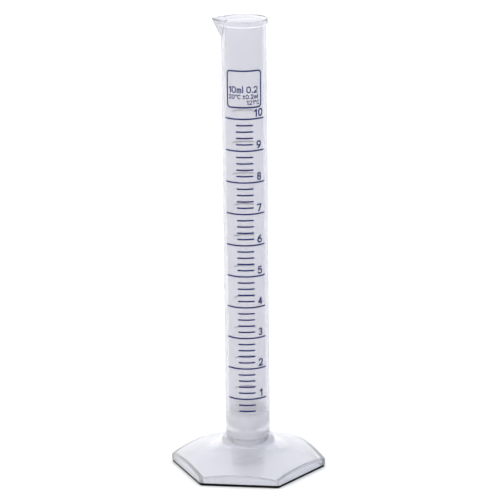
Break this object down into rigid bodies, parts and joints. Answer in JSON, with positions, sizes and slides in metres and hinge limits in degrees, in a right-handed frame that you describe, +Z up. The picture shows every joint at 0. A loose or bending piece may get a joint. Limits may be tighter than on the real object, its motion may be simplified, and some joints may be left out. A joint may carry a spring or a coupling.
{
  "type": "graduated cylinder",
  "caption": "Tall narrow graduated cylinder of translucent plastic with a pouring spout, a domed hexagonal foot and a printed blue scale, for measuring small volumes of liquid.",
  "frame": {"origin": "on the tube's axis at table level, the middle of the foot's standing rim", "axes": "+Z up along the tube; one flat of the hexagonal foot faces -Y; the spout points to -X over a corner of the foot; the scale faces -Y, turned 7 degrees towards +X"},
  "size_m": [0.0482, 0.042, 0.1411],
  "materials": {
    "tube_plastic": "natural translucent polypropylene, smooth moulded",
    "foot_plastic": "natural translucent polypropylene, smooth moulded",
    "blue_ink": "screen-printed dark blue ink"
  },
  "bodies": {
    "root": {"measuring_tube": "tube_plastic", "hexagonal_foot": "foot_plastic", "ml_ring_01": "blue_ink", "ml_ring_02": "blue_ink", "ml_ring_03": "blue_ink", "ml_ring_04": "blue_ink", "ml_ring_05": "blue_ink", "ml_ring_06": "blue_ink", "ml_ring_07": "blue_ink", "ml_ring_08": "blue_ink", "ml_ring_09": "blue_ink", "ml_ring_10": "blue_ink", "fifth_lines_01": "blue_ink", "fifth_lines_02": "blue_ink", "fifth_lines_03": "blue_ink", "fifth_lines_04": "blue_ink", "fifth_lines_05": "blue_ink", "fifth_lines_06": "blue_ink", "fifth_lines_07": "blue_ink", "fifth_lines_08": "blue_ink", "fifth_lines_09": "blue_ink", "fifth_lines_10": "blue_ink", "figure_01": "blue_ink", "figure_02": "blue_ink", "figure_03": "blue_ink", "figure_04": "blue_ink", "figure_05": "blue_ink", "figure_06": "blue_ink", "figure_07": "blue_ink", "figure_08": "blue_ink", "figure_09": "blue_ink", "figure_10": "blue_ink", "panel_frame": "blue_ink", "panel_capacity": "blue_ink", "panel_tolerance": "blue_ink", "panel_temperature": "blue_ink"}
  },
  "joints": []
}
